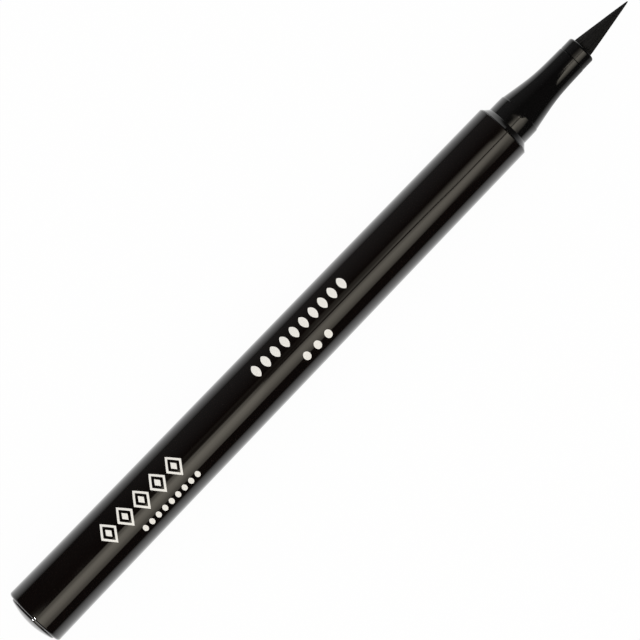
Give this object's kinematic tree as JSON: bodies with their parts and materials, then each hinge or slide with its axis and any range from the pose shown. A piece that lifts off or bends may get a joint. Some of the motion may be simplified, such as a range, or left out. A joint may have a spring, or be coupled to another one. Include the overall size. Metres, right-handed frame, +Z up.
{
  "type": "liquid eyeliner pen",
  "caption": "Slim eyeliner pen with its cap off: tapered barrel, domed tail plug, stepped concave nose, pointed filament brush and a mixing ball in the ink chamber.",
  "frame": {"origin": "on the ground under the middle of the pen's length, brush tip and dome included", "axes": "+X along the pen towards the brush tip, +Z up, the pen's axis level"},
  "size_m": [0.1306, 0.0102, 0.0103],
  "materials": {
    "gloss_black": "high gloss moulded black plastic",
    "gloss_black_plug": "high gloss moulded black plastic",
    "nose_black": "gloss moulded black plastic, slightly softer than the barrel",
    "brush_filament": "matte black synthetic filaments",
    "inner_plastic": "natural satin plastic",
    "wick_fibre": "bonded fibre soaked with ink",
    "seal_rubber": "smooth black rubber",
    "ball_steel": "polished stainless steel"
  },
  "bodies": {
    "pen": {"barrel": "gloss_black", "tail_plug": "gloss_black_plug", "tail_seal_ring": "seal_rubber", "tank_divider": "inner_plastic", "ink_collector": "inner_plastic", "feed_wick": "wick_fibre", "nose_cone": "nose_black", "mouth_collar": "nose_black", "brush_sleeve": "inner_plastic", "guide_tube": "inner_plastic", "brush": "brush_filament"},
    "ball": {"mixing_ball": "ball_steel"}
  },
  "joints": [
    {"name": "mixing_ball_slide", "type": "slide", "parent": "pen", "child": "ball", "axis": [-1, 0, 0], "range_m": [0, 0.0475]}
  ]
}
